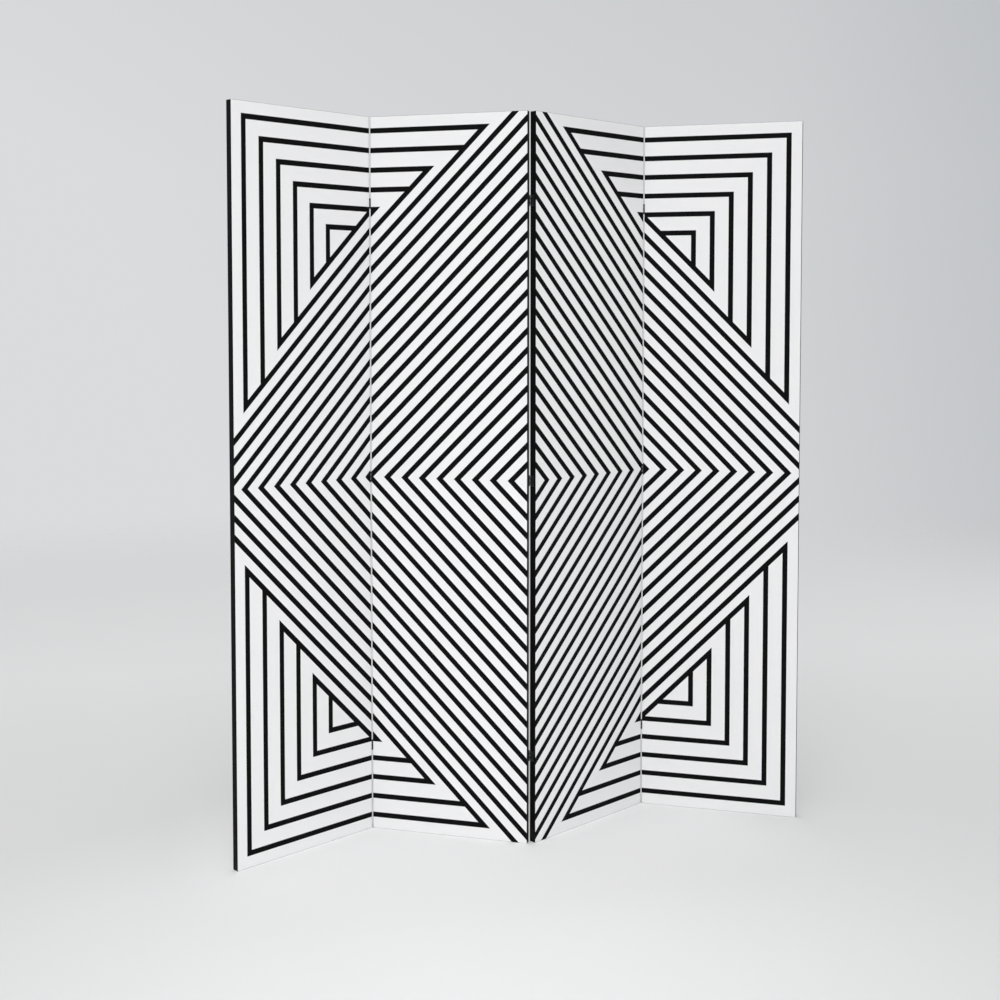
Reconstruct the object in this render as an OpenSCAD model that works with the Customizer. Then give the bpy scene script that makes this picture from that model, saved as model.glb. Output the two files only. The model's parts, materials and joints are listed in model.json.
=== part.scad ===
// Folding room divider of four canvas panels that stand in a zigzag.
// Each panel is a timber frame between a front and a rear canvas, with black tape round its narrow edges.
// Neighbours are joined by three small butt hinges, on the front side at the outer folds
// and on the rear side at the middle fold, so that the screen folds flat like a concertina.
// Millimetres, +Z up, the viewer is on the -Y side, the origin is on the floor under the middle of the box.

/* [Panels] */
// Height of a panel
panel_h = 1800; // [1500:10:2100]
// Width of a panel
panel_w = 405; // [350:5:500]
// Thickness of a panel, canvas included
panel_t = 18.5; // [17:0.5:26]
// Angle between neighbouring panels as the screen stands
fold_angle = 120; // [70:5:170]

/* [Timber frame] */
// Width of a stile
stile_w = 32; // [26:1:45]
// Width of the top and bottom rails
rail_w = 32; // [24:1:60]
// Width of a cross rail
cross_rail_w = 28; // [22:1:50]
// Number of cross rails in a panel
cross_rails = 2; // [1:1:4]
// Thickness of the tenons
tenon_t = 6; // [4:0.5:8]
// Length of a cross rail's stub tenon
tenon_l = 12; // [8:1:14]
// Step between a cross rail's edge and its tenon
tenon_shoulder = 4; // [2:0.5:6]
// Glue line all round a tenon
glue_line = 0.1; // [0.05:0.05:0.2]
// Chamfer along the long edges of the timber
ease = 0.8; // [0.4:0.1:1.5]

/* [Canvas and tape] */
// Thickness of the primed canvas
canvas_t = 0.5; // [0.35:0.05:0.6]
// How far a canvas is turned in round the frame
turn_in = 7.5; // [4:0.5:8]
// Thickness of the edging tape
tape_t = 0.2; // [0.15:0.05:0.6]
// Gap between two strips of tape at a corner
tape_gap = 0.3; // [0.2:0.05:0.5]

/* [Hinges] */
// Length of a hinge along the fold
hinge_l = 25.5; // [22:0.5:40]
// Height of the lowest hinge above the floor, and of the highest below the top
hinge_inset = 215; // [120:1:400]
// Depth of a leaf over the panel's narrow edge
leaf_depth = 12.5; // [11:0.5:14]
// Thickness of a leaf
leaf_t = 0.7; // [0.6:0.05:1]
// Radius of a leaf's rounded corners
leaf_corner = 1.6; // [0.8:0.1:2.5]
// Number of knuckles of both leaves together
knuckles = 5; // [3:2:7]
// Outer radius of a knuckle
knuckle_r = 1.4; // [1.3:0.05:2.2]
// Gap between two knuckles along the pin
knuckle_gap = 0.3; // [0.25:0.05:0.5]
// Space left between a turning knuckle and the other panel's corner
turn_gap = 0.5; // [0.25:0.05:0.8]
// Room round a leaf in its recess
recess_gap = 0.2; // [0.1:0.05:0.4]

/* [Pins and screws] */
// Radius of a hinge pin
pin_r = 0.65; // [0.55:0.05:0.9]
// Running clearance round a pin
pin_gap = 0.05; // [0.03:0.01:0.09]
// Radius of a pin's flat button head
pin_head_r = 1.1; // [0.9:0.05:1.6]
// Height of a pin's head
pin_head_h = 0.6; // [0.4:0.1:1]
// Radius of a screw's shank
screw_r = 1.1; // [0.9:0.05:1.2]
// Radius of a screw's countersunk head
screw_head_r = 2; // [1.7:0.05:2.1]
// Length of a screw, head included
screw_l = 13; // [9:0.5:16]
// Radius of a screw's blunt tip
screw_tip_r = 0.3; // [0.1:0.05:0.6]
// Depth of the first screw behind the panel's face
screw_near = 4; // [3:0.5:4.5]
// Depth of the second screw behind the panel's face
screw_far = 8.5; // [7:0.5:8.5]
// Distance of a screw from the leaf's end
screw_end = 5; // [3.5:0.5:7]
// Gap between a screw and its hole
screw_gap = 0.02; // [0.01:0.01:0.05]

/* [Hidden] */
$fn = 48;
panel_count = 4;
levels = ["lower", "middle", "upper"];

// A cut runs this far past the face that it opens.
past = 1;

// The skin over the timber's narrow edges is one canvas and one tape.
skin = canvas_t + tape_t;
frame_w = panel_w - 2 * skin;
frame_h = panel_h - 2 * skin;
frame_t = panel_t - 2 * canvas_t;
cross_rail_step = panel_h / (cross_rails + 1);

// A leaf lies flush in its recess and runs on as a tangent of its knuckles,
// so the pin's axis stands half the closed joint's gap beyond the panel's edge.
axis_beyond = knuckle_r - leaf_t;
// The axis stands so far in front of the face that a knuckle clears the other panel's corner.
axis_out = sqrt(pow(knuckle_r + turn_gap, 2) - pow(axis_beyond, 2));
knuckle_step = (hinge_l + knuckle_gap) / knuckles;
knuckle_h = knuckle_step - knuckle_gap;
bore_r = pin_r + pin_gap;
hinge_heights = [hinge_inset, panel_h / 2, panel_h - hinge_inset];

// Places of the two screws in a leaf: depth behind the face, height above the hinge's middle.
screw_spots = [[screw_near, hinge_l / 2 - screw_end], [screw_far, screw_end - hinge_l / 2]];

// The panels turn left and right by the same angle, and the folds lie in front and behind in turn.
tilt = (180 - fold_angle) / 2;
function heading(n) = n % 2 == 1 ? tilt : -tilt;
function fold_in_front(f) = f % 2 == 1;
function axis_y(f) = fold_in_front(f) ? -axis_out : panel_t + axis_out;

// A point of panel n's own frame, turned with the panel.
function turned(n, p) = [
    p.x * cos(heading(n)) - p.y * sin(heading(n)),
    p.x * sin(heading(n)) + p.y * cos(heading(n))
];

// The front left corner of panel n in plan. Each panel hangs on the hinge axis of the one before.
function corner(n) = n == 1 ? [0, 0] :
    corner(n - 1)
    + turned(n - 1, [panel_w + axis_beyond, axis_y(n - 1)])
    - turned(n, [-axis_beyond, axis_y(n - 1)]);

outline = [for (n = [1:panel_count]) for (x = [0, panel_w]) for (y = [0, panel_t]) corner(n) + turned(n, [x, y])];
outline_x = [for (p = outline) p.x];
outline_y = [for (p = outline) p.y];
middle = [(min(outline_x) + max(outline_x)) / 2, (min(outline_y) + max(outline_y)) / 2];

black = [0.08, 0.08, 0.085];
white = [0.93, 0.93, 0.93];
pine = [0.82, 0.67, 0.46];
steel = [0.45, 0.45, 0.47];

// Stands panel n, drawn with its front left corner at zero, in its place in the zigzag.
module stand(n) {
    translate([corner(n).x - middle.x, corner(n).y - middle.y, 0])
        rotate(heading(n))
            children();
}

// Moves a left leaf's frame to panel n's right edge, at fold n.
module at_right_edge(n, height) {
    translate([panel_w + axis_beyond, axis_y(n), height])
        mirror([0, fold_in_front(n) ? 0 : 1, 0])
            children();
}

// Moves a left leaf's frame, mirrored to a right leaf's, to panel n's left edge, at fold n - 1.
module at_left_edge(n, height) {
    translate([-axis_beyond, axis_y(n - 1), height])
        mirror([0, fold_in_front(n - 1) ? 0 : 1, 0])
            mirror([1, 0, 0])
                children();
}

// Repeats a shape at every leaf that panel n carries.
module at_every_leaf(n) {
    for (height = hinge_heights) {
        if (n < panel_count)
            at_right_edge(n, height)
                children();
        if (n > 1)
            at_left_edge(n, height)
                children();
    }
}

// Flat rectangle with its far corners rounded, lying in the plan of a leaf.
module leaf_outline() {
    straight = leaf_depth - leaf_corner;
    translate([0, -hinge_l / 2])
        square([straight, hinge_l]);
    translate([straight - leaf_corner, leaf_corner - hinge_l / 2])
        square([2 * leaf_corner, hinge_l - 2 * leaf_corner]);
    for (side = [-1, 1])
        translate([straight, side * (hinge_l / 2 - leaf_corner)])
            circle(leaf_corner);
}

// Countersunk screw that points along -X, its head flush with the leaf, grown all round by a clearance.
module screw(grow) {
    head_h = screw_head_r - screw_r;
    tip_h = 2 * screw_r;
    rotate([0, -90, 0]) {
        translate([0, 0, -grow])
            cylinder(h = head_h + grow, r1 = screw_head_r + 2 * grow, r2 = screw_r + grow);
        cylinder(h = screw_l - tip_h, r = screw_r + grow);
        translate([0, 0, screw_l - tip_h])
            cylinder(h = tip_h + grow, r1 = screw_r + grow, r2 = screw_tip_r + grow);
    }
}

// The two screws of a leaf in the hinge's frame.
module leaf_screws(grow) {
    for (spot = screw_spots)
        translate([-axis_beyond, axis_out + spot.x, spot.y])
            screw(grow);
}

// Left leaf in the hinge's frame: the pin's axis is Z, the panel lies towards -X and its face looks along -Y.
// The knuckles counted from `first` in steps of two belong to this leaf.
module leaf(first) {
    difference() {
        union() {
            translate([-knuckle_r, axis_out, 0])
                rotate([90, 0, 90])
                    linear_extrude(leaf_t)
                        leaf_outline();
            for (i = [first:2:knuckles - 1])
                translate([0, 0, i * knuckle_step - hinge_l / 2]) {
                    cylinder(h = knuckle_h, r = knuckle_r);
                    translate([-knuckle_r, 0, 0])
                        cube([leaf_t, axis_out + leaf_corner, knuckle_h]);
                }
        }
        translate([0, 0, -hinge_l])
            cylinder(h = 2 * hinge_l, r = bore_r);
        leaf_screws(screw_gap);
    }
}

// Space that a leaf and its screws take in the panel's edge, with room round them.
module leaf_seat() {
    translate([-knuckle_r, axis_out - past, -hinge_l / 2 - recess_gap])
        cube([leaf_t + past, leaf_depth + past + recess_gap, hinge_l + 2 * recess_gap]);
    leaf_screws(screw_gap);
}

// Length of timber along Z with its long edges chamfered.
module bar(length, width, thickness) {
    linear_extrude(length)
        polygon([
            [ease, 0], [width - ease, 0], [width, ease], [width, thickness - ease],
            [width - ease, thickness], [ease, thickness], [0, thickness - ease], [0, ease]
        ]);
}

// Space of a tenon across the thickness of the frame, `grow` larger all round.
module tongue(length, height, grow) {
    translate([0, frame_t / 2 - tenon_t / 2 - grow, -grow])
        cube([length, tenon_t + 2 * grow, height + 2 * grow]);
}

// Thin tray of canvas: the face, and its edges turned in round the frame.
module canvas_tray() {
    difference() {
        translate([tape_t, 0, tape_t])
            cube([panel_w - 2 * tape_t, turn_in, panel_h - 2 * tape_t]);
        translate([skin, canvas_t, skin])
            cube([frame_w, turn_in, frame_h]);
    }
}

module front_canvas(n) {
    color(white)
        stand(n)
            difference() {
                canvas_tray();
                at_every_leaf(n)
                    leaf_seat();
            }
}

module rear_canvas(n) {
    color(white)
        stand(n)
            difference() {
                translate([0, panel_t, 0])
                    mirror([0, 1, 0])
                        canvas_tray();
                at_every_leaf(n)
                    leaf_seat();
            }
}

// Four strips of tape round the narrow edges, cut away at the leaves.
module edge_tape(n) {
    color(black)
        stand(n)
            difference() {
                union() {
                    for (x = [0, panel_w - tape_t])
                        translate([x, 0, 0])
                            cube([tape_t, panel_t, panel_h]);
                    for (z = [0, panel_h - tape_t])
                        translate([tape_t + tape_gap, 0, z])
                            cube([panel_w - 2 * (tape_t + tape_gap), panel_t, tape_t]);
                }
                at_every_leaf(n)
                    leaf_seat();
            }
}

// Left stile in the panel's frame, with open slots for the rails' tenons and mortises for the cross rails'.
module stile_shape() {
    translate([skin, canvas_t, skin])
        difference() {
            bar(frame_h, stile_w, frame_t);
            for (z = [-past, frame_h - rail_w])
                translate([-past, 0, z])
                    tongue(stile_w + 2 * past, rail_w + past, 0);
            for (i = [1:cross_rails])
                translate([stile_w - tenon_l, 0, i * cross_rail_step - skin - cross_rail_w / 2 + tenon_shoulder])
                    tongue(tenon_l + past, cross_rail_w - 2 * tenon_shoulder, 0);
        }
}

module left_stile(n) {
    color(pine)
        stand(n)
            difference() {
                stile_shape();
                at_every_leaf(n)
                    leaf_seat();
            }
}

module right_stile(n) {
    color(pine)
        stand(n)
            difference() {
                translate([panel_w, 0, 0])
                    mirror([1, 0, 0])
                        stile_shape();
                at_every_leaf(n)
                    leaf_seat();
            }
}

// Rail from stile to stile along X, with a tenon at each end.
module rail_shape(width, tenon, shoulder) {
    free_l = frame_w - 2 * stile_w;
    translate([skin, canvas_t, 0]) {
        translate([stile_w + glue_line, 0, width])
            rotate([0, 90, 0])
                bar(free_l - 2 * glue_line, width, frame_t);
        translate([stile_w - tenon, 0, shoulder])
            tongue(free_l + 2 * tenon, width - 2 * shoulder, -glue_line);
    }
}

module bottom_rail(n) {
    color(pine)
        stand(n)
            translate([0, 0, skin])
                rail_shape(rail_w, stile_w, 0);
}

module top_rail(n) {
    color(pine)
        stand(n)
            translate([0, 0, panel_h - skin - rail_w])
                rail_shape(rail_w, stile_w, 0);
}

module cross_rails(n) {
    color(pine)
        stand(n)
            for (i = [1:cross_rails])
                translate([0, 0, i * cross_rail_step - cross_rail_w / 2])
                    rail_shape(cross_rail_w, tenon_l - glue_line, tenon_shoulder);
}

module hinge_screws(n) {
    color(black)
        stand(n)
            at_every_leaf(n)
                leaf_screws(0);
}

// Pins of fold f, one through each hinge's knuckles, with a button head on both ends.
module hinge_pins(f) {
    color(steel)
        stand(f)
            for (height = hinge_heights)
                translate([panel_w + axis_beyond, axis_y(f), height]) {
                    cylinder(h = hinge_l + pin_head_h, r = pin_r, center = true);
                    for (side = [0, 1])
                        mirror([0, 0, side])
                            translate([0, 0, hinge_l / 2 + pin_gap])
                                cylinder(h = pin_head_h, r = pin_head_r);
                }
}

module left_leaf(f, level) {
    color(black)
        stand(f)
            at_right_edge(f, hinge_heights[level])
                leaf(0);
}

module right_leaf(f, level) {
    color(black)
        stand(f + 1)
            at_left_edge(f + 1, hinge_heights[level])
                leaf(1);
}

for (n = [1:panel_count]) {
    front_canvas(n);
    rear_canvas(n);
    edge_tape(n);
    left_stile(n);
    right_stile(n);
    top_rail(n);
    bottom_rail(n);
    cross_rails(n);
    hinge_screws(n);
}
for (f = [1:panel_count - 1]) {
    hinge_pins(f);
    for (i = [0:len(levels) - 1]) {
        left_leaf(f, i);
        right_leaf(f, i);
    }
}
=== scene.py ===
"""Looks of a folding screen of four canvas panels that stands in a zigzag.

Metres, Z up, the printed faces look towards -Y. The timber, tape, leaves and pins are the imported
parts with finishes of their own. The canvases and the screws are made here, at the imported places.
"""

import math

import bpy
import numpy as np
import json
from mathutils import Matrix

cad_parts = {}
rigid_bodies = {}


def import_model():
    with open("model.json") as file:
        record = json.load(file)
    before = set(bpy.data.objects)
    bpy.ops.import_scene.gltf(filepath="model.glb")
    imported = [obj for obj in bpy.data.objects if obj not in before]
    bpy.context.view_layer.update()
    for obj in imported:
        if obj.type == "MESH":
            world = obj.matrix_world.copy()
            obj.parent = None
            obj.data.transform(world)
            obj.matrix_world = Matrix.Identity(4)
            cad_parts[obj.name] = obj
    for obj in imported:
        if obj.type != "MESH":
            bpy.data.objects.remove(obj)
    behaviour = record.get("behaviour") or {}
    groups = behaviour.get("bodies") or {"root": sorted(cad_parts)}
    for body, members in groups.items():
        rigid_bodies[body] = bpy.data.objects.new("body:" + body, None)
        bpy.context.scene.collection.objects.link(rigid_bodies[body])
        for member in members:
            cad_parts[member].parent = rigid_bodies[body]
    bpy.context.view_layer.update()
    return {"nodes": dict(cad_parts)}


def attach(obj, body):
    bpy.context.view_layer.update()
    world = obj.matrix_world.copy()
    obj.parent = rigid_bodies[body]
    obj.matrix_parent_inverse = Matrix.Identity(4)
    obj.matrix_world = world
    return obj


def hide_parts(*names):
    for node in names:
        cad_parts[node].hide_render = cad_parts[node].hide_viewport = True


for left_over in list(bpy.data.objects):
    bpy.data.objects.remove(left_over)

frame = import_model()
nodes = frame["nodes"]

# Sizes of the panels, as in the part's source
PANEL_W = 0.405
PANEL_T = 0.0185
PANEL_H = 1.8
PANELS = 4
TILT = math.radians(30)
TAPE_T = 0.0002
TURN_IN = 0.0075
STILE_W = 0.0327
RAIL_H = 0.0327
CROSS_RAILS = ((0.586, 0.614), (1.186, 1.214))

# Sizes of the hinges, as in the part's source
LEAF_T = 0.0007
KNUCKLE_R = 0.0014
TURN_GAP = 0.0005
AXIS_BEYOND = KNUCKLE_R - LEAF_T
AXIS_OUT = math.sqrt((KNUCKLE_R + TURN_GAP) ** 2 - AXIS_BEYOND**2)
HINGE_HEIGHTS = (0.215, 0.9, 1.585)
RECESS_HALF = 0.01295
RECESS_DEPTH = 0.0127

# The screws: places of the two in a leaf, as depth behind the face and height above the hinge's middle
SCREW_SPOTS = ((0.004, 0.00775), (0.0085, -0.00775))
SCREW_HEAD_R = 0.002
SCREW_R = 0.0011
SCREW_TIP_R = 0.0003
SCREW_L = 0.013
SCREW_SIDES = 24
# Rows of their rounded rim: depth, and how far inside the head's radius. Then the plain neck under the head
RIM_ROWS = ((0.00003, 0.00006), (0.0001, 0.00011))
NECK_R, NECK_L = SCREW_R - 0.0002, 0.0012
# Their thread: start past the head, rows, rise in a turn, radius under it, its height, and how much
# steeper than a triangle it is
THREAD_START, THREAD_ROWS = 0.0014, 46
THREAD_PITCH = 0.001
THREAD_CORE_R = SCREW_R - 0.00022
THREAD_H = 0.0002
THREAD_STEEP = 1.6
# The cross in their heads: its depth, the half width and the reach of an arm, and how wide each slopes
CROSS_DEPTH = 0.00075
CROSS_HALF, CROSS_FLANK = 0.00042, 0.00016
CROSS_REACH, CROSS_SLOPE = 0.00125, 0.0004
# How each screw is turned about: the first one's angle, and the step to the next in radians
FIRST_TURN, NEXT_TURN = 0.7, 2.4

# The canvas: thickness, radius of its turned edge, how far it lies hollow between the bars of the frame,
# a stop on its turned side, and the longest steps of its grid
CANVAS_T = 0.00048
EDGE_R = 0.0006
HOLLOW = 0.00035
SIDE_STOP = 0.0032
STEP_ACROSS, STEP_UP = 0.0075, 0.0095
# Cells of a wrapped line beside the face: those of its flat side, and those with its quarter circle
SIDE_CELLS, WRAPPED_CELLS = 3, 7

# The map that the canvas's finish is kept on: margin and full height, then where the outer layer,
# the rim and the inner layer start across, and how much of the width each has
MAP_EDGE, MAP_UP = 0.002, 0.996
OUTER_AT, OUTER_SHARE = 0.002, 0.92
RIM_AT, RIM_SHARE = 0.928, 0.012
INNER_AT, INNER_SHARE = 0.944, 0.05

# The print: steps from one square to the next across and upwards, the first square's half width,
# and half a line's width as a share of the step
SQUARE_STEP = 0.0461
SQUARE_RISE = 0.04677
FIRST_SQUARE = 0.04066
SQUARE_HALF = 0.1935
# Squares 0 to 19 are whole, and the last three run on between the corner lines
WHOLE_SQUARES = 20
LAST_SQUARE = 22
# The corner lines: steps across and upwards, distance of the first from the edge, and half a line's
# width as a share of the step
CORNER_STEP_X = 0.04841
CORNER_STEP_Z = 0.04876
CORNER_IN_X = 0.0335
CORNER_IN_Z = 0.0348
CORNER_HALF = 0.1335
LAST_CORNER_LINE = 5
# The outer panels' print starts this much further in at their folds
PRINT_OVERLAP = 0.0037

# The camera: place, angles down and to the right in radians, and the lens's shift
EYE = (-0.9122, -3.3668, 1.2998)
LOOK_DOWN = 0.0483
LOOK_RIGHT = math.radians(14.344)
LENS_SHIFT = -0.115

# The floor's painted light: middle and reach of a painted pool of light before the screen, and where it is
# painted light again behind
LIT_POOL_X, LIT_POOL_Y, LIT_POOL_REACH = -0.15, -0.38, 1.3
LIT_AGAIN_BEHIND = 1.7
# Its palest patch, painted bounce light round the feet from the white panels above it: middle, half length,
# soft part of that, and half depth
BOUNCE_X, BOUNCE_Y = -0.05, 0.02
BOUNCE_HALF, BOUNCE_SOFT, BOUNCE_DEPTH = 0.85, 0.35, 0.5
# Where the eye starts to see it melt away, and over what length: far off, and in front
MELT_FAR, MELT_FAR_OVER = 3.2, 3.2
MELT_FRONT, MELT_FRONT_OVER = 1.05, 0.95


def heading(n):
    """How far panel n is turned about the vertical: 30 degrees one way if odd, the other way if even."""
    return TILT if n % 2 else -TILT


def turned(n, x, y):
    """A point of panel n's own plan, turned by the panel's heading."""
    a = heading(n)
    return np.array([x * math.cos(a) - y * math.sin(a), x * math.sin(a) + y * math.cos(a)])


def fold_in_front(f):
    """Folds 1-2 and 3-4 have their pins in front of the printed faces, fold 2-3 behind the rear ones."""
    return f % 2 == 1


def axis_y(f):
    """Depth of fold f's pin in the panels' own plan."""
    return -AXIS_OUT if fold_in_front(f) else PANEL_T + AXIS_OUT


def panel_corners():
    """Front left corners in plan. Each panel hangs on the pin of the one before, and the whole is
    centred on the origin."""
    found = {1: np.zeros(2)}
    for n in range(2, PANELS + 1):
        pin = found[n - 1] + turned(n - 1, PANEL_W + AXIS_BEYOND, axis_y(n - 1))
        found[n] = pin - turned(n, -AXIS_BEYOND, axis_y(n - 1))
    outline = np.array(
        [found[n] + turned(n, x, y) for n in found for x in (0, PANEL_W) for y in (0, PANEL_T)]
    )
    middle = (outline.min(0) + outline.max(0)) / 2
    return {n: c - middle for n, c in found.items()}


CORNERS = panel_corners()


def placed(n, points):
    """Points of panel n's own frame, turned by its heading and moved to its corner."""
    x, y, z = np.asarray(points, float).reshape(-1, 3).T
    a = heading(n)
    return np.stack(
        [
            CORNERS[n][0] + x * math.cos(a) - y * math.sin(a),
            CORNERS[n][1] + x * math.sin(a) + y * math.cos(a),
            z,
        ],
        1,
    )


def new_piece(name, points, faces, uv_maps=None, smooth_under=40):
    """A mesh object at the origin from points, faces and UV maps by face corner, smooth except where
    faces meet more steeply than the angle in degrees."""
    mesh = bpy.data.meshes.new(name)
    mesh.from_pydata(points, [], faces)
    for map_name, uv in (uv_maps or {}).items():
        layer = mesh.uv_layers.new(name=map_name)
        layer.data.foreach_set("uv", np.asarray(uv, np.float32).ravel())
    mesh.polygons.foreach_set("use_smooth", np.ones(len(faces), bool))
    mesh.set_sharp_from_angle(angle=math.radians(smooth_under))
    mesh.update()
    piece = bpy.data.objects.new(name, mesh)
    bpy.context.scene.collection.objects.link(piece)
    return piece


def ring_faces(rings, around, closed_end):
    """Four-sided faces between rings of points that follow on point 0, and triangles that close the first
    ring by point 0 and, where asked, the last ring by the point after it."""
    ring = np.arange(rings * around).reshape(rings, around) + 1
    beside = np.roll(ring, -1, 1)
    sides = np.stack([ring[:-1], ring[1:], beside[1:], beside[:-1]], -1).reshape(-1, 4)
    ends = np.stack([np.zeros(around, int), ring[0], beside[0]], 1)
    if closed_end:
        tip = np.full(around, rings * around + 1)
        ends = np.concatenate([ends, np.stack([tip, beside[-1], ring[-1]], 1)])
    return sides, ends


def wrapped_line(length, steps, inset):
    """A line of cloth round a bar of that length: up the turned-in side, round a quarter circle, along the
    face, and back down. Gives for each point its place along the bar, its depth behind the face, and the
    length of cloth up to it, counted from the bar's end on the face. Inset moves it inwards."""
    sides = np.array([TURN_IN, PANEL_T - RECESS_DEPTH, SIDE_STOP, EDGE_R])
    arc = np.linspace(0, math.pi / 2, 5)[1:-1]
    turn_r = EDGE_R - inset
    place = np.concatenate([np.full(len(sides), inset), EDGE_R - turn_r * np.cos(arc)])
    depth = np.concatenate([sides, EDGE_R - turn_r * np.sin(arc)])
    on_side = EDGE_R * (1 - math.pi / 2) - (sides - EDGE_R)
    on_arc = EDGE_R - EDGE_R * (math.pi / 2 - arc)
    cloth = np.concatenate([on_side, on_arc])
    face = np.concatenate([[EDGE_R], steps, [length - EDGE_R]])
    flat = np.full(len(face), inset)
    return (
        np.concatenate([place, face, length - place[::-1]]),
        np.concatenate([depth, flat, depth[::-1]]),
        np.concatenate([cloth, face, length - cloth[::-1]]),
    )


def even_steps(stops, step):
    """Evenly spaced places between each two stops, the stops between the first and the last included."""
    parts = [np.linspace(a, b, max(2, round((b - a) / step) + 1))[:-1] for a, b in zip(stops, stops[1:])]
    return np.concatenate(parts)[1:]


def hollow_between(place, bars):
    """How far cloth hangs free between bars, 0 on them and 1 in the middle: one less the fourth power of
    the distance from the gap's middle, as a share of half the gap."""
    free = np.zeros(len(place))
    for (_, start), (end, _) in zip(bars, bars[1:]):
        share = (2 * place - start - end) / (end - start)
        free = np.maximum(free, np.clip(1 - share**4, 0, 1))
    return free


def canvas_sheet(n, front):
    """Cloth stretched over panel n's frame: a grid of two wrapped lines, one across and one upwards, whose
    depths add up. Both layers of the cloth and its rim are faces of one closed mesh. Cells are left out at
    the four corners, where the cloth is cut to turn in, and at the leaves of the hinges."""
    width, height = PANEL_W - 2 * TAPE_T, PANEL_H - 2 * TAPE_T
    cuts = sorted(h + side * RECESS_HALF - TAPE_T for h in HINGE_HEIGHTS for side in (-1, 1))
    across = even_steps([EDGE_R, STILE_W, PANEL_W - STILE_W, width - EDGE_R], STEP_ACROSS)
    upwards = even_steps([EDGE_R, *cuts, height - EDGE_R], STEP_UP)
    side_bars = [(0, STILE_W), (PANEL_W - STILE_W, PANEL_W)]
    level_bars = [(0, RAIL_H), *CROSS_RAILS, (PANEL_H - RAIL_H, PANEL_H)]
    layers = []
    for inset in (0.0, CANVAS_T):
        px, dx, cx = wrapped_line(width, across, inset)
        pz, dz, cz = wrapped_line(height, upwards, inset)
        hollow = np.outer(hollow_between(px + TAPE_T, side_bars), hollow_between(pz + TAPE_T, level_bars))
        depth = dx[:, None] + dz[None, :] - inset + HOLLOW * hollow
        x = np.broadcast_to(px[:, None] + TAPE_T, depth.shape)
        z = np.broadcast_to(pz[None, :] + TAPE_T, depth.shape)
        y = depth if front else PANEL_T - depth
        layers.append(np.stack([x, y, z], -1).reshape(-1, 3))
    columns, rows = len(cx), len(cz)

    # Which cells stay: no corner squares, and no cloth at the leaves
    side_col, side_row = (
        np.minimum(np.arange(cells), np.arange(cells)[::-1]) for cells in (columns - 1, rows - 1)
    )
    kept = ~(
        ((side_col[:, None] < SIDE_CELLS) & (side_row[None, :] < WRAPPED_CELLS))
        | ((side_col[:, None] < WRAPPED_CELLS) & (side_row[None, :] < SIDE_CELLS))
    )
    middles = (pz[1:] + pz[:-1]) / 2 + TAPE_T
    at_leaf = np.min([np.abs(middles - h) for h in HINGE_HEIGHTS], 0) < RECESS_HALF
    for fold, at_end in ((n - 1, False), (n, True)):
        if 1 <= fold < PANELS:
            reach = WRAPPED_CELLS if fold_in_front(fold) == front else 1
            part = slice(columns - 1 - reach, None) if at_end else slice(0, reach)
            kept[part, at_leaf] = False

    index = np.arange(columns * rows).reshape(columns, rows)
    a, b, c, d = index[:-1, :-1], index[1:, :-1], index[1:, 1:], index[:-1, 1:]
    outer = np.stack([a, b, c, d], -1)[kept]
    inner = outer[:, ::-1] + columns * rows
    # The rim: each side of a kept cell that has no kept neighbour
    padded = np.pad(kept, 1)
    rims = []
    for start, end, neighbour in (
        (a, b, padded[1:-1, :-2]),
        (b, c, padded[2:, 1:-1]),
        (c, d, padded[1:-1, 2:]),
        (d, a, padded[:-2, 1:-1]),
    ):
        bare = kept & ~neighbour
        s, e = start[bare], end[bare]
        rims.append(np.stack([e, s, s + columns * rows, e + columns * rows], -1))
    rim = np.concatenate(rims)
    faces = np.concatenate([outer, inner, rim])
    if not front:
        faces = faces[:, ::-1]

    # The print's own map: distance from the ridge between panels 2 and 3, and height above the floor
    cloth_x = np.broadcast_to(cx[:, None] + TAPE_T, (columns, rows)).ravel()
    cloth_z = np.broadcast_to(cz[None, :] + TAPE_T, (columns, rows)).ravel()
    ridge = PANEL_W - cloth_x if n in (1, 2) else cloth_x
    if n in (1, PANELS):
        ridge = ridge + PANEL_W - PRINT_OVERLAP
    flat = np.stack([ridge, cloth_z], 1)
    corners = faces % (columns * rows)
    print_map = flat[corners.ravel()]

    # The map that the finish is kept on: the outer layer fills most of it
    share = np.stack(
        [(cloth_x - cloth_x.min()) / np.ptp(cloth_x), (cloth_z - cloth_z.min()) / np.ptp(cloth_z)], 1
    )[corners]
    keep_map = share * (OUTER_SHARE, MAP_UP) + (OUTER_AT, MAP_EDGE)
    first_inner, first_rim = len(outer), len(outer) + len(inner)
    inside = share[first_inner:first_rim]
    keep_map[first_inner:first_rim] = inside * (INNER_SHARE, MAP_UP) + (INNER_AT, MAP_EDGE)
    rim_count = len(rim)
    rim_start = (np.arange(rim_count) / rim_count)[:, None]
    unit = np.array([[0, 0], [1, 0], [1, 1], [0, 1]])
    keep_map[first_rim:, :, 0] = RIM_AT + RIM_SHARE * unit[:, 0]
    keep_map[first_rim:, :, 1] = MAP_EDGE + MAP_UP * (rim_start + unit[:, 1] / rim_count)

    used, compact = np.unique(faces, return_inverse=True)
    points = np.concatenate(layers)[used]
    side = "printed" if front else "plain"
    piece = new_piece(
        f"{side}_canvas_{n}",
        placed(n, points),
        compact.reshape(faces.shape),
        {"Cloth": print_map, "OFBake": keep_map.reshape(-1, 2)},
    )
    which = np.zeros(len(faces), np.int32)
    which[first_inner:] = 1
    piece.data.polygons.foreach_set("material_index", which)
    cut = (float(np.ptp(cloth_x)), float(np.ptp(cloth_z)))
    return piece, cut


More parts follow.
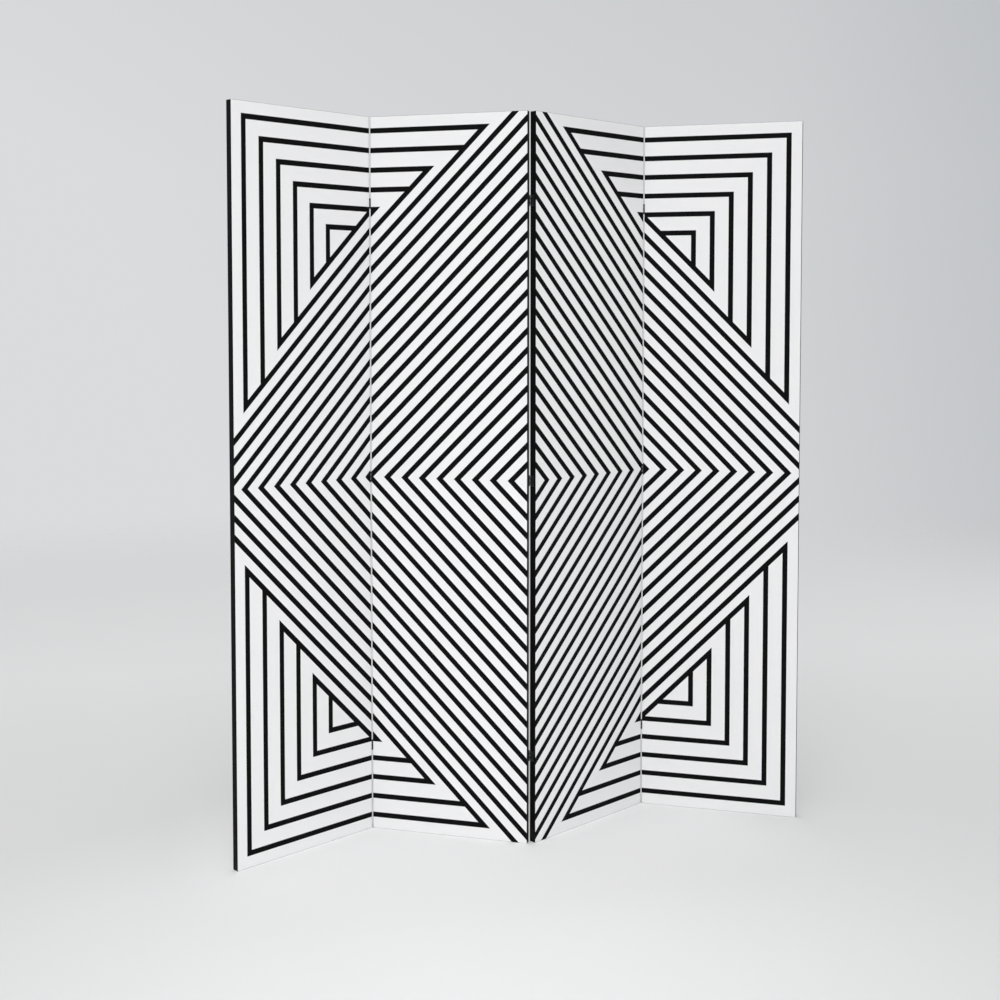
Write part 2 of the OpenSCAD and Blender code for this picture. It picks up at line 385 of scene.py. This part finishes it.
def screw_surface():
    """One screw along +X from its head at x = 0: a lathe shape whose radius carries a thread, and whose
    flat head carries a cross. Rows run from the head's middle outwards, over the rim and down to the tip.
    The thread's height follows a triangle wave of place over pitch less the angle's share of a turn.
    The cross is as deep as the smaller of its arm's flank and its slope towards the tip of the arm."""
    angle = np.linspace(0, 2 * math.pi, SCREW_SIDES, endpoint=False)
    head_r = np.array([0.0, 0.2, 0.32, 0.42, 0.52, 0.62, 0.72, 0.82, 0.92]) * SCREW_HEAD_R
    y, z = head_r[:, None] * np.cos(angle), head_r[:, None] * np.sin(angle)
    arm = np.minimum(np.abs(y), np.abs(z))
    reach = np.maximum(np.abs(y), np.abs(z))
    flank = np.clip((CROSS_HALF - arm) / CROSS_FLANK, 0, 1)
    slope = np.clip((CROSS_REACH - reach) / CROSS_SLOPE, 0, 1)
    head = np.stack([CROSS_DEPTH * np.minimum(flank, slope), y, z], -1)

    head_h = SCREW_HEAD_R - SCREW_R
    rim = [(depth, SCREW_HEAD_R - inside) for depth, inside in RIM_ROWS]
    neck = [(head_h, NECK_R), (head_h + NECK_L, NECK_R)]
    lathe = np.array(rim + neck)
    place = np.linspace(head_h + THREAD_START, SCREW_L, THREAD_ROWS)
    # 1 along the shank, and falling to 0 over the tip
    full = np.minimum((SCREW_L - place) / (2 * SCREW_R), 1)
    core = SCREW_TIP_R + (THREAD_CORE_R - SCREW_TIP_R) * full
    turn = (place[:, None] / THREAD_PITCH - angle / (2 * math.pi)) % 1
    wave = np.clip(1 - np.abs(2 * turn - 1) * THREAD_STEEP, 0, 1)
    thread = core[:, None] + (THREAD_H * full)[:, None] * wave
    x = np.repeat(np.concatenate([lathe[:, 0], place])[:, None], SCREW_SIDES, 1)
    r = np.concatenate([np.repeat(lathe[:, 1:], SCREW_SIDES, 1), thread])
    body = np.stack([x, r * np.cos(angle), r * np.sin(angle)], -1)
    return np.concatenate([head, body])


def screws(n):
    """All screws of panel n: the screw's grid, turned about and moved to each spot, with its two ends
    closed by a point each."""
    grid = screw_surface()
    rows, around = grid.shape[:2]
    points = np.concatenate([grid[0, :1], grid[1:].reshape(-1, 3), [[SCREW_L, 0, 0]]])
    sides, ends = ring_faces(rows - 1, around, True)
    all_points, all_sides, all_ends = [], [], []
    seats = []
    for fold, at_end in ((n - 1, False), (n, True)):
        if 1 <= fold < PANELS:
            for height in HINGE_HEIGHTS:
                for depth, rise in SCREW_SPOTS:
                    seats.append((fold, at_end, height + rise, depth))
    for k, (fold, at_end, z, depth) in enumerate(seats):
        a = FIRST_TURN + NEXT_TURN * k
        spin = np.array([[1, 0, 0], [0, math.cos(a), math.sin(a)], [0, -math.sin(a), math.cos(a)]])
        spun = points @ spin
        if at_end:
            spun = spun * (-1, -1, 1)
        spun[:, 0] += PANEL_W if at_end else 0.0
        spun[:, 1] += depth if fold_in_front(fold) else PANEL_T - depth
        spun[:, 2] += z
        all_points.append(placed(n, spun))
        all_sides.append(sides + k * len(points))
        all_ends.append(ends + k * len(points))
    faces = np.concatenate(all_sides).tolist() + np.concatenate(all_ends).tolist()
    return new_piece(f"crosshead_screws_{n}", np.concatenate(all_points), faces, smooth_under=35)


class Field:
    """A value that changes over a surface: a node's socket with arithmetic, so that a formula reads as it
    does on paper."""

    def __init__(self, tree, socket):
        self.tree = tree
        self.socket = socket

    def made(self, operation, *others, clamp=False):
        settings = {"operation": operation, "use_clamp": clamp}
        return Field(self.tree, ordered_node(self.tree, "Math", settings, self, *others).outputs[0])

    def __add__(self, other):
        return self.made("ADD", other)

    def __sub__(self, other):
        return self.made("SUBTRACT", other)

    def __rsub__(self, other):
        return self.made("MULTIPLY", -1.0).made("ADD", other)

    def __mul__(self, other):
        return self.made("MULTIPLY", other)

    def __truediv__(self, other):
        return self.made("DIVIDE", other)

    def size(self):
        return self.made("ABSOLUTE")

    def floor(self):
        return self.made("FLOOR")

    def nearest(self):
        return self.made("ROUND")

    def least(self, other):
        return self.made("MINIMUM", other)

    def most(self, other):
        return self.made("MAXIMUM", other)

    def above(self, other):
        return self.made("GREATER_THAN", other)

    def below(self, other):
        return self.made("LESS_THAN", other)

    def power(self, other):
        return self.made("POWER", other)

    def root(self):
        return self.made("SQRT")

    def cosine(self):
        return self.made("COSINE")

    def within(self):
        """The same value, kept between 0 and 1."""
        return self.made("ADD", 0.0, clamp=True)

    def eased(self):
        """The value kept between 0 and 1, with soft ends: s * s * (3 - 2 s)."""
        s = self.within()
        return s * s * (3.0 - s * 2.0)


def fill(tree, place, value):
    """Puts a number, colour, socket or field into a node's input."""
    if isinstance(value, Field):
        value = value.socket
    if isinstance(value, bpy.types.NodeSocket):
        tree.links.new(value, place)
    else:
        place.default_value = value


def fill_named(tree, made, **inputs):
    """Fills a node's inputs by name: an underscore stands for a space."""
    for name, value in inputs.items():
        fill(tree, made.inputs[name.replace("_", " ")], value)


def node(tree, kind, settings=None, **inputs):
    """A new node with its settings, and its inputs filled by name."""
    made = tree.nodes.new("ShaderNode" + kind)
    for name, value in (settings or {}).items():
        setattr(made, name, value)
    fill_named(tree, made, **inputs)
    return made


def ordered_node(tree, kind, settings, *values):
    """A new node with its settings, and its inputs filled in their order."""
    made = node(tree, kind, settings)
    for place, value in zip(made.inputs, values):
        fill(tree, place, value)
    return made


def vector_step(tree, operation, *values):
    """The outputs of a calculation with vectors."""
    return ordered_node(tree, "VectorMath", {"operation": operation}, *values).outputs


def mix_shaders(tree, share, first, second):
    """The first shader where the share is 0, the second where it is 1."""
    return ordered_node(tree, "MixShader", None, share, first.outputs[0], second.outputs[0])


def object_place(tree):
    """The place in the scene: every piece's object sits at the origin, unturned."""
    return node(tree, "TexCoord").outputs["Object"]


def cloth_place(tree):
    """The canvas's own map, in metres of cloth."""
    return node(tree, "UVMap", {"uv_map": "Cloth"}).outputs[0]


def parts_of(tree, vector):
    """The three parts of a vector as fields."""
    split = node(tree, "SeparateXYZ", Vector=vector)
    return [Field(tree, s) for s in split.outputs]


def noise(tree, vector, scale, detail=3.0, roughness=0.5):
    """Smooth noise about 0.5 at a scale in waves per metre."""
    made = node(tree, "TexNoise", Vector=vector, Scale=scale, Detail=detail, Roughness=roughness)
    return Field(tree, made.outputs["Fac"])


def blend_colour(tree, share, first, second):
    """The first colour where the share is 0, the second where it is 1."""
    made = node(tree, "Mix", {"data_type": "RGBA"})
    fill(tree, made.inputs[0], share)
    for place, colour in ((6, first), (7, second)):
        fill(tree, made.inputs[place], (*colour, 1.0) if isinstance(colour, tuple) else colour)
    return made.outputs[2]


def new_group(name, inputs, outputs):
    """A node group with named inputs, each with its kind and first value, and named outputs."""
    tree = bpy.data.node_groups.new(name, "ShaderNodeTree")
    for label, (kind, value) in inputs.items():
        place = tree.interface.new_socket(name=label, in_out="INPUT", socket_type="NodeSocket" + kind)
        if value is not None:
            place.default_value = value
    for label, kind in outputs.items():
        tree.interface.new_socket(name=label, in_out="OUTPUT", socket_type="NodeSocket" + kind)
    return tree, tree.nodes.new("NodeGroupInput"), tree.nodes.new("NodeGroupOutput")


def use_group(tree, group, **inputs):
    """Places a node group in a material and fills its inputs by name."""
    made = node(tree, "Group", {"node_tree": group}, **inputs)
    return {s.name: Field(tree, s) for s in made.outputs}


def weave_group():
    """Plain weave. Each thread is a low arch across its own width, and rises and sinks along its length as
    a cosine whose sign changes from thread to thread, so that warp and weft pass over each other in turn.
    Every thread has its own thickness, and thickens and thins slowly along its length."""
    tree, given, result = new_group(
        "plain weave",
        {"Place": ("Vector", None), "Thread": ("Float", 0.0009), "Slubs": ("Float", 0.2)},
        {"Height": "Float", "Slub": "Float"},
    )
    wander = node(tree, "TexNoise", Vector=given.outputs["Place"], Scale=22.0, Detail=1.0)
    drift = vector_step(tree, "SUBTRACT", wander.outputs["Color"], (0.5, 0.5, 0.5))[0]
    pulled = vector_step(tree, "MULTIPLY_ADD", drift, (0.0022, 0.0022, 0.0), given.outputs["Place"])[0]
    x, y, _ = parts_of(tree, pulled)
    thread = Field(tree, given.outputs["Thread"])
    slubs = Field(tree, given.outputs["Slubs"])
    x, y = x / thread, y / thread
    column, row = x.floor(), y.floor()

    def own(number, along, salt):
        """Thickness of one thread, from its number and, slowly, the place along it."""
        at = node(tree, "CombineXYZ", X=number * 3.7 + salt, Y=along * 0.035, Z=salt)
        made = noise(tree, at.outputs[0], 1.0, 1.0)
        return (made - 0.5) * slubs * 2.0 + 1.0

    warp_own, weft_own = own(column, y, 0.3), own(row, x, 7.9)
    warp_arch = 1.0 - ((x - column - 0.5) * 2.0).power(2.0)
    weft_arch = 1.0 - ((y - row - 0.5) * 2.0).power(2.0)
    warp_rise = ((y - 0.5 + column) * math.pi).cosine() * 0.32 + 0.68
    weft_rise = ((x - 0.5 + row) * math.pi).cosine() * -0.32 + 0.68
    height = (warp_arch * warp_rise * warp_own).most(weft_arch * weft_rise * weft_own)
    fill_named(tree, result, Height=height * 0.8, Slub=warp_own.most(weft_own) - 1.0)
    return tree


def squares_group():
    """The print: squares stood on their points, nested about the middle of the ridge, and lines along the
    edges nested in the four corners.
    A square's number is the nearest whole of (distance from the ridge + height from the middle, over the
    slope, less the first half width) over the step. Ink lies within half a line's width of that number.
    A corner line's number is the nearest whole of the smaller distance from the side and from the end.
    The last squares stop at the corner lines, and two corner lines stop at each of the last squares."""
    tree, given, result = new_group(
        "nested squares",
        {"Cloth": ("Vector", None), "Bleed": ("Float", 0.0005), "Wander": ("Float", 0.0)},
        {"Ink": "Float"},
    )
    ridge, height, _ = parts_of(tree, given.outputs["Cloth"])
    bleed = Field(tree, given.outputs["Bleed"])
    wander = Field(tree, given.outputs["Wander"])
    from_middle = (height - PANEL_H / 2).size()
    square = (ridge + from_middle * (SQUARE_STEP / SQUARE_RISE) - FIRST_SQUARE) / SQUARE_STEP
    number = square.nearest()
    screen_half = 2 * PANEL_W - PRINT_OVERLAP
    from_side = (ridge * -1.0 + (screen_half - CORNER_IN_X)) / CORNER_STEP_X
    from_end = (from_middle * -1.0 + (PANEL_H / 2 - CORNER_IN_Z)) / CORNER_STEP_Z
    corner = from_side.least(from_end)
    line = corner.nearest()

    slant = SQUARE_STEP * math.sqrt(0.5)
    in_square = ((square - number).size() * -1.0 + SQUARE_HALF) * slant
    past_corner = (corner - number * 2.0 + (2 * WHOLE_SQUARES + CORNER_HALF)) * CORNER_STEP_Z
    squares = in_square.least(past_corner) + wander
    squares = (squares / bleed + 0.5).within() * number.above(-0.5) * number.below(LAST_SQUARE + 0.5)

    in_line = ((corner - line).size() * -1.0 + CORNER_HALF) * CORNER_STEP_Z
    past_square = (square - (line * 0.5).floor() + (SQUARE_HALF - WHOLE_SQUARES)) * slant
    lines = in_line.least(past_square) + wander
    lines = (lines / bleed + 0.5).within() * line.above(-0.5) * line.below(LAST_CORNER_LINE + 0.5)
    fill_named(tree, result, Ink=squares.most(lines))
    return tree


def rubbed_group():
    """Where hands and floors rub: the bevelled normal leaves the true one near an edge, and noise breaks
    it up."""
    tree, given, result = new_group(
        "rubbed edges",
        {"Reach": ("Float", 0.0005), "Grain": ("Float", 900.0), "Amount": ("Float", 0.5)},
        {"Rubbed": "Float"},
    )
    rounded = node(tree, "Bevel", {"samples": 6}, Radius=given.outputs["Reach"])
    flat = node(tree, "NewGeometry")
    dot = vector_step(tree, "DOT_PRODUCT", rounded.outputs[0], flat.outputs["True Normal"])["Value"]
    edge = (1.0 - Field(tree, dot)) * 4.0
    patches = noise(tree, object_place(tree), given.outputs["Grain"], 4.0, 0.65)
    worn = (edge.within() + patches * 1.3 - 1.25 + Field(tree, given.outputs["Amount"])) * 2.5
    fill_named(tree, result, Rubbed=worn.within() * edge.within())
    return tree


def pine_group():
    """Sawn pine, the grain along X: year rings are circles about a heart line beside the board, bent by
    slow noise, each ring darkening towards its end with the sixth power. Fibres are noise drawn out along
    the grain."""
    tree, given, result = new_group(
        "pine grain",
        {"Place": ("Vector", None), "Ring": ("Float", 0.0031)},
        {"Late wood": "Float", "Fibre": "Float", "Board": "Float"},
    )
    place = given.outputs["Place"]
    slow = vector_step(tree, "MULTIPLY", place, (0.16, 1.0, 1.0))[0]
    bend = noise(tree, slow, 9.0, 2.0)
    _, y, z = parts_of(tree, place)
    across = y + 0.021 + bend * 0.05
    up = z * 0.35 + bend * 0.02
    rings = (across * across + up * up).root() / Field(tree, given.outputs["Ring"])
    late = (rings - rings.floor()).power(6.0)
    drawn_out = vector_step(tree, "MULTIPLY", place, (0.035, 1.0, 1.0))[0]
    fibre = noise(tree, drawn_out, 1500.0, 3.0, 0.6)
    fill_named(tree, result, Late_wood=late, Fibre=fibre, Board=noise(tree, slow, 30.0, 3.0))
    return tree


WEAVE = weave_group()
SQUARES = squares_group()
RUBBED = rubbed_group()
PINE = pine_group()


def new_finish(name, **fixed):
    """A material with one plain surface shader, its constant values set on the shader's own inputs."""
    made = bpy.data.materials.new(name)
    made.use_nodes = True
    tree = made.node_tree
    tree.nodes.clear()
    surface = node(tree, "BsdfPrincipled", **fixed)
    node(tree, "OutputMaterial", Surface=surface.outputs[0])
    return made, tree, surface


def dress(tree, surface, colour, roughness, height, relief, **more):
    """Fills a shader's colour and roughness, and its normal with a height through a Bump node, in metres
    of relief, and more inputs by name."""
    bump = node(tree, "Bump", Height=height, Distance=relief, Strength=1.0)
    more["Normal"] = bump.outputs[0]
    fill_named(tree, surface, Base_Color=colour, Roughness=roughness, **more)


def printed_canvas_finish():
    """White coated canvas under a matt black print. The print's edge follows the threads a little, and the
    threads' crowns take less ink."""
    made, tree, surface = new_finish("printed_canvas_finish", Specular_IOR_Level=0.05)
    cloth = cloth_place(tree)
    weave = use_group(tree, WEAVE, Place=cloth, Thread=0.0009, Slubs=0.22)
    fine = noise(tree, cloth, 2600.0, 2.0)
    wander = (weave["Height"] - 0.45) * 0.00022 + (fine - 0.5) * 0.0002
    ink = use_group(tree, SQUARES, Cloth=cloth, Bleed=0.00035, Wander=wander)["Ink"]
    cloud = noise(tree, cloth, 5.0, 3.0)
    tone = (weave["Slub"] * 0.18 + (weave["Height"] - 0.45) * 0.10 + (cloud - 0.5) * 0.10 + 0.5).within()
    white = blend_colour(tree, tone, (0.825, 0.825, 0.828), (0.925, 0.925, 0.93))
    crown = (weave["Height"] * 0.5 + fine * 0.5).within()
    black = blend_colour(tree, crown, (0.0028, 0.0028, 0.003), (0.0056, 0.0056, 0.006))
    colour = blend_colour(tree, ink, white, black)
    roughness = ink * -0.14 + 0.86 + (cloud - 0.5) * 0.06
    dress(tree, surface, colour, roughness, weave["Height"] + fine * 0.15, 0.00009)
    return made


def plain_canvas_finish():
    """The rear canvas: the same cloth with a warmer, bare coat that shows its threads more."""
    made, tree, surface = new_finish("plain_canvas_finish", Specular_IOR_Level=0.12)
    cloth = cloth_place(tree)
    weave = use_group(tree, WEAVE, Place=cloth, Thread=0.00105, Slubs=0.35)
    fine = noise(tree, cloth, 2200.0, 3.0)
    cloud = noise(tree, cloth, 4.0, 4.0)
    tone = (weave["Slub"] * 0.5 + (weave["Height"] - 0.45) * 0.4 + (cloud - 0.5) * 0.35 + 0.5).within()
    colour = blend_colour(tree, tone, (0.79, 0.775, 0.745), (0.905, 0.898, 0.88))
    dress(tree, surface, colour, fine * 0.08 + 0.84, weave["Height"] + fine * 0.2, 0.00014)
    return made


def raw_canvas_finish():
    """The inside of either canvas, raw cotton without a coat, with specks of seed in it."""
    made, tree, surface = new_finish("raw_canvas_finish", Specular_IOR_Level=0.1)
    cloth = cloth_place(tree)
    weave = use_group(tree, WEAVE, Place=cloth, Thread=0.00105, Slubs=0.5)
    tone = (weave["Slub"] * 0.6 + weave["Height"] * 0.5 + 0.2).within()
    cotton = blend_colour(tree, tone, (0.50, 0.43, 0.33), (0.72, 0.66, 0.55))
    specks = ((noise(tree, cloth, 420.0, 2.0) - 0.69) * 14.0).within()
    colour = blend_colour(tree, specks, cotton, (0.20, 0.15, 0.10))
    dress(tree, surface, colour, weave["Height"] * 0.06 + 0.86, weave["Height"], 0.00018)
    return made


def tape_finish(name, turn):
    """Black cloth tape: a fine weave under a soft coat, greyer where its edges are rubbed and near the
    floor. The weave is laid out by the depth in the panel, y cos t - x sin t, and by the height plus the
    place along the panel, x cos t + y sin t. On each strip one of those last two is constant."""
    made, tree, surface = new_finish(name, Specular_IOR_Level=0.05)
    place = object_place(tree)
    x, y, z = parts_of(tree, place)
    cosine, sine = math.cos(turn), math.sin(turn)
    on_edge = node(tree, "CombineXYZ", X=y * cosine - x * sine, Y=z + x * cosine + y * sine, Z=0.0)
    weave = use_group(tree, WEAVE, Place=on_edge.outputs[0], Thread=0.0006, Slubs=0.15)
    rubbed = use_group(tree, RUBBED, Reach=0.0004, Grain=420.0, Amount=0.12)["Rubbed"]
    dust = noise(tree, place, 60.0, 5.0, 0.6)
    low = (z * -9.0 + 1.0).within()
    scuff = ((dust + low * 0.22 - 0.66) * 5.0).within()
    base = blend_colour(tree, weave["Height"], (0.0034, 0.0034, 0.0037), (0.0068, 0.0068, 0.0072))
    dusty = blend_colour(tree, scuff * 0.5, base, (0.045, 0.044, 0.043))
    colour = blend_colour(tree, rubbed * 0.55, dusty, (0.085, 0.083, 0.08))
    roughness = (scuff * 0.2 + weave["Height"] * -0.12 + 0.62).within()
    dress(tree, surface, colour, roughness, weave["Height"] + dust * 0.3, 0.00006)
    return made


def leaf_finish():
    """Black baked paint on pressed steel: a fine orange peel, and bright steel where the edges are rubbed
    through."""
    made, tree, surface = new_finish("black_hinge_finish", Specular_IOR_Level=0.35)
    place = object_place(tree)
    peel = noise(tree, place, 1700.0, 2.0)
    smear = noise(tree, place, 240.0, 4.0)
    rubbed = use_group(tree, RUBBED, Reach=0.00022, Grain=1500.0, Amount=0.2)["Rubbed"]
    paint = blend_colour(tree, smear, (0.009, 0.009, 0.0095), (0.019, 0.019, 0.02))
    colour = blend_colour(tree, rubbed * 0.8, paint, (0.42, 0.41, 0.40))
    dress(tree, surface, colour, smear * 0.16 + 0.36, peel, 0.00003, Metallic=rubbed * 0.8)
    return made


def pin_finish():
    """Turned and blackened steel pins: fine rings left by the tool across the height, uneven where oil
    lies."""
    made, tree, surface = new_finish("hinge_pin_finish")
    place = object_place(tree)
    _, _, z = parts_of(tree, place)
    level = node(tree, "CombineXYZ", X=0.0, Y=0.0, Z=z)
    rings = noise(tree, level.outputs[0], 9000.0, 2.0)
    oil = noise(tree, place, 700.0, 3.0)
    colour = blend_colour(tree, oil, (0.035, 0.035, 0.037), (0.085, 0.084, 0.083))
    dress(tree, surface, colour, rings * 0.2 + 0.24, rings, 0.00001, Metallic=oil * 0.1 + 0.9)
    return made


def screw_finish():
    """Black oxide on steel screws: a dull sheen, with bare metal along the cross and the crests of the
    thread."""
    made, tree, surface = new_finish("black_screw_finish")
    place = object_place(tree)
    cast = noise(tree, place, 1300.0, 4.0)
    rubbed = use_group(tree, RUBBED, Reach=0.00015, Grain=2600.0, Amount=0.25)["Rubbed"]
    oxide = blend_colour(tree, cast, (0.014, 0.014, 0.016), (0.035, 0.035, 0.038))
    colour = blend_colour(tree, rubbed * 0.7, oxide, (0.46, 0.45, 0.44))
    dress(tree, surface, colour, cast * 0.2 + 0.34, cast, 0.00002, Metallic=rubbed * 0.4 + 0.5)
    return made


def pine_finish(name, turn):
    """Planed pine with its grain along the bar: the place is turned so that X runs along the grain."""
    made, tree, surface = new_finish(name, Specular_IOR_Level=0.3)
    turner = node(tree, "Mapping", Vector=object_place(tree), Rotation=turn)
    grain = use_group(tree, PINE, Place=turner.outputs[0], Ring=0.0031)
    early = blend_colour(tree, grain["Board"], (0.66, 0.47, 0.27), (0.76, 0.59, 0.37))
    late = (grain["Late wood"] * 0.75 + (grain["Fibre"] - 0.5) * 0.25).within()
    colour = blend_colour(tree, late, early, (0.42, 0.22, 0.09))
    relief = grain["Fibre"] + grain["Late wood"] * 0.6
    dress(tree, surface, colour, grain["Fibre"] * 0.18 + 0.5, relief, 0.00006)
    return made


def wall_tone_with_painted_shade(tree, sideways, up):
    """The studio wall's tone with painted shade: pale grey, darker and a little cooler towards +X, and
    darker upwards.
    """
    higher = up * 0.35 + (up - 0.1).most(0.0) * 1.2
    share = (sideways * 0.9 + (sideways - 0.42).most(0.0) * 2.6 + higher).within()
    return blend_colour(tree, share, (0.702, 0.712, 0.729), (0.53, 0.545, 0.562))


def floor_finish():
    """Pale matt floor with painted light in its colour: a painted pool of light before the screen, painted
    lighter again far behind it and a little darker at the left, and palest round its feet, painted bounce
    light where white panels stand over it. To the eye it melts into the wall far away, and under the lamps,
    which would show there as a white patch. The tones come in along s * s * (3 - 2 s), with s from 0 to 1."""
    made, tree, surface = new_finish("studio_floor_finish", Specular_IOR_Level=0.1)
    place = object_place(tree)
    x, y, _ = parts_of(tree, place)
    speckle = noise(tree, place, 3.0, 3.0)
    ahead, aside = y - LIT_POOL_Y, x - LIT_POOL_X
    # Painted light: a pool of light before the screen, and the floor painted lighter again far behind, a
    # little darker at the left
    lit_pool = 1.0 - (ahead * ahead + aside * aside).root() / LIT_POOL_REACH
    behind = ((y + x * 0.12) / LIT_AGAIN_BEHIND).within() * (x.least(0.0) * 0.05 + 0.97)
    tone = ((lit_pool.eased() * 0.75).most(behind) * 0.94 + speckle * 0.06).within()
    floor_with_painted_light = blend_colour(tree, tone, (0.745, 0.745, 0.745), (0.905, 0.905, 0.905))
    # Painted bounce light: the floor is painted palest round the screen's feet
    along = (BOUNCE_HALF - (x - BOUNCE_X).size()) / BOUNCE_SOFT
    deep = 1.0 - (y - BOUNCE_Y).size() / BOUNCE_DEPTH
    colour = blend_colour(tree, along.eased() * deep.eased() * 0.8, floor_with_painted_light, (0.965, 0.965, 0.965))
    fill_named(tree, surface, Base_Color=colour, Roughness=speckle * 0.1 + 0.8)
    far = ((x * x + y * y).root() - MELT_FAR) / MELT_FAR_OVER
    melted = far.most((y + MELT_FRONT) / -MELT_FRONT_OVER).eased()
    seen = Field(tree, node(tree, "LightPath").outputs["Is Camera Ray"])
    clear = node(tree, "BsdfTransparent")
    mix = mix_shaders(tree, melted * seen, surface, clear)
    out = next(n for n in tree.nodes if n.type == "OUTPUT_MATERIAL")
    fill_named(tree, out, Surface=mix.outputs[0])
    return made


def studio_floor():
    """A round floor about the origin: a grid of radius and angle, its middle closed by a point."""
    around, radii = 96, np.array([0.5, 1.0, 2.0, 4.0, 8.0, 14.0])
    angle = np.linspace(0, 2 * math.pi, around, endpoint=False)
    x, y = np.outer(radii, np.cos(angle)), np.outer(radii, np.sin(angle))
    rings = np.stack([x, y, np.zeros_like(x)], -1)
    points = np.concatenate([[[0, 0, 0]], rings.reshape(-1, 3)])
    sides, ends = ring_faces(len(radii), around, False)
    floor = new_piece("studio_floor", points, sides.tolist() + ends.tolist())
    floor.data.materials.append(floor_finish())


def studio_light():
    """Soft light from all round, stronger from above, from the front and low from behind, and three wide
    lamps: a far one, a nearer one low at the left, and one overhead. The lamps themselves aren't seen.
    Where the surroundings are seen or mirrored, they have the wall's tone."""
    world = bpy.data.worlds.new("studio")
    bpy.context.scene.world = world
    world.use_nodes = True
    tree = world.node_tree
    tree.nodes.clear()
    x, y, up = parts_of(tree, node(tree, "TexCoord").outputs["Generated"])
    above = up.within()
    from_front = (y * -0.5 + 0.5).power(2.0) * 0.145
    low_behind = y.most(0.0) * (1.0 - above) * 0.45
    soft = from_front + above * 0.66 + 0.172 + low_behind
    shown = node(tree, "Background", Color=wall_tone_with_painted_shade(tree, x, up), Strength=1.0)
    light = node(tree, "Background", Color=(0.985, 0.99, 1.0, 1.0), Strength=soft)
    path = node(tree, "LightPath")
    seen = Field(tree, path.outputs["Is Camera Ray"]).most(path.outputs["Is Glossy Ray"])
    mix = mix_shaders(tree, seen.most(path.outputs["Is Transmission Ray"]), light, shown)
    node(tree, "OutputWorld", Surface=mix.outputs[0])
    # Name, place, what it points at, width in metres and power in watts
    for name, place, aim, size, power in (
        ("wide_lamp", (-2.2, -3.4, 2.0), (0.0, 0.0, 0.9), 2.4, 12.7),
        ("low_lamp", (-0.8, -2.5, 1.0), (-0.1, 0.0, 0.9), 1.2, 19.2),
        ("high_lamp", (-0.3, -1.2, 4.4), (0.0, 0.0, 0.0), 4.0, 42.0),
    ):
        lamp = bpy.data.lights.new(name, "AREA")
        lamp.shape = "SQUARE"
        lamp.size = size
        lamp.energy = power
        holder = bpy.data.objects.new(name, lamp)
        holder.location = place
        holder.visible_camera = False
        away = np.array(place) - np.array(aim)
        holder.rotation_mode = "XYZ"
        holder.rotation_euler = (
            math.atan2(math.hypot(away[0], away[1]), away[2]),
            0.0,
            math.atan2(away[1], away[0]) + math.pi / 2,
        )
        bpy.context.scene.collection.objects.link(holder)


def studio_camera():
    """Eye height 1.3 m, 3.5 m from the screen's middle and to the left of it, with a 50 mm lens."""
    lens = bpy.data.cameras.new("camera")
    lens.lens = 50.0
    lens.sensor_width = 36.0
    lens.shift_y = LENS_SHIFT
    lens.clip_end = 60.0
    camera = bpy.data.objects.new("camera", lens)
    camera.location = EYE
    camera.rotation_euler = (math.pi / 2 - LOOK_DOWN, 0.0, -LOOK_RIGHT)
    bpy.context.scene.collection.objects.link(camera)
    bpy.context.scene.camera = camera


PRINTED = printed_canvas_finish()
PLAIN = plain_canvas_finish()
RAW = raw_canvas_finish()
TAPE = {n: tape_finish(f"black_tape_finish_{n}", heading(n)) for n in (1, 2)}
LEAF = leaf_finish()
PIN = pin_finish()
SCREW = screw_finish()
PINE_UPRIGHT = pine_finish("pine_upright_finish", (0.0, math.pi / 2, 0.0))
PINE_LEVEL = {n: pine_finish(f"pine_level_finish_{n}", (0.0, 0.0, -heading(n))) for n in (1, 2)}

for n in range(1, PANELS + 1):
    alike = 2 - n % 2
    bars = ("left_stile", "right_stile", "top_rail", "bottom_rail", "cross_rails")
    timber = [f"{bar}_{n}" for bar in bars]
    for front, slot, node_name, outside in (
        (True, "printed_canvas", f"front_canvas_{n}", PRINTED),
        (False, "plain_canvas", f"rear_canvas_{n}", PLAIN),
    ):
        canvas, cut = canvas_sheet(n, front)
        canvas.data.materials.append(outside)
        canvas.data.materials.append(RAW)
        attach(canvas, f"panel_{n}")
        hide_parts(node_name)
    heads = screws(n)
    heads.data.materials.append(SCREW)
    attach(heads, f"panel_{n}")
    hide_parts(f"hinge_screws_{n}")
    for name in timber[:2]:
        nodes[name].material_slots[0].material = PINE_UPRIGHT
    for name in timber[2:]:
        nodes[name].material_slots[0].material = PINE_LEVEL[alike]
    nodes[f"edge_tape_{n}"].material_slots[0].material = TAPE[alike]
for name, packed in nodes.items():
    if "_leaf_" in name:
        packed.material_slots[0].material = LEAF
    if name.startswith("hinge_pins"):
        packed.material_slots[0].material = PIN

bpy.context.scene.view_settings.view_transform = "Standard"
studio_floor()
studio_light()
studio_camera()
